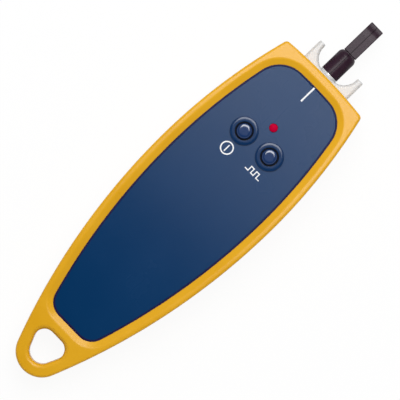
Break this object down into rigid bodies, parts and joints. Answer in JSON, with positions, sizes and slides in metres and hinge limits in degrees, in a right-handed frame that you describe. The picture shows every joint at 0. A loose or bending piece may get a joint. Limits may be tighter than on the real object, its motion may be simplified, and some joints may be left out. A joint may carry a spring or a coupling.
{
  "type": "visual fault locator",
  "caption": "Hand-held visual fault locator: tapered case in a soft yellow boot with a hang loop, push keys, indicator lamp, guarded ferrule port and rubber dust cap.",
  "frame": {"origin": "on the boot's back, below the middle of the whole length with the dust cap on", "axes": "+Z out of the face with the keys, +Y towards the optical port, +X across to the right when the face is seen with the port up"},
  "size_m": [0.054, 0.1844, 0.028],
  "materials": {
    "boot_rubber": "satin",
    "blue_plastic": "satin",
    "grey_plastic": "satin",
    "cell_jacket": "gloss",
    "spring_steel": "bright",
    "board_laminate": "satin",
    "switch_plastic": "matt",
    "plunger_plastic": "matt",
    "key_plastic": "gloss",
    "red_epoxy": "gloss",
    "chip_plastic": "matt",
    "turned_brass": "turned",
    "gold_can": "bright",
    "lens_glass": "polished",
    "nickel_metal": "turned",
    "ceramic": "ground",
    "white_plastic": "satin",
    "cap_rubber": "satin",
    "screw_steel": "plated"
  },
  "bodies": {
    "case": {"boot": "boot_rubber", "front_cover": "blue_plastic", "rear_housing": "grey_plastic", "battery_1": "cell_jacket", "battery_2": "cell_jacket", "bridge_contact": "spring_steel", "positive_contact": "spring_steel", "negative_contact": "spring_steel", "circuit_board": "board_laminate", "power_switch": "switch_plastic", "flash_switch": "switch_plastic", "indicator_lamp": "red_epoxy", "driver_chip": "chip_plastic", "board_parts": "chip_plastic", "laser_holder": "turned_brass", "laser_diode": "gold_can", "focus_lens": "lens_glass", "port_barrel": "nickel_metal", "aperture_ring": "nickel_metal", "split_sleeve": "ceramic", "nose_guard": "white_plastic", "case_screws": "screw_steel", "board_screws": "screw_steel"},
    "power_key": {"power_button": "key_plastic", "power_plunger": "plunger_plastic"},
    "flash_key": {"flash_button": "key_plastic", "flash_plunger": "plunger_plastic"},
    "door": {"battery_door": "grey_plastic"},
    "cap": {"dust_cap": "cap_rubber"}
  },
  "joints": [
    {"name": "power_press", "type": "slide", "parent": "case", "child": "power_key", "axis": [0, 0, -1], "range_m": [0, 0.0006], "stiffness_N_per_m": 1500, "springref_m": -0.0003},
    {"name": "flash_press", "type": "slide", "parent": "case", "child": "flash_key", "axis": [0, 0, -1], "range_m": [0, 0.0006], "stiffness_N_per_m": 1500, "springref_m": -0.0003},
    {"name": "door_slide", "type": "slide", "parent": "case", "child": "door", "axis": [0, 1, 0], "range_m": [0, 0.004]},
    {"name": "cap_pull", "type": "slide", "parent": "case", "child": "cap", "axis": [0, 1, 0], "range_m": [0, 0.03]}
  ]
}
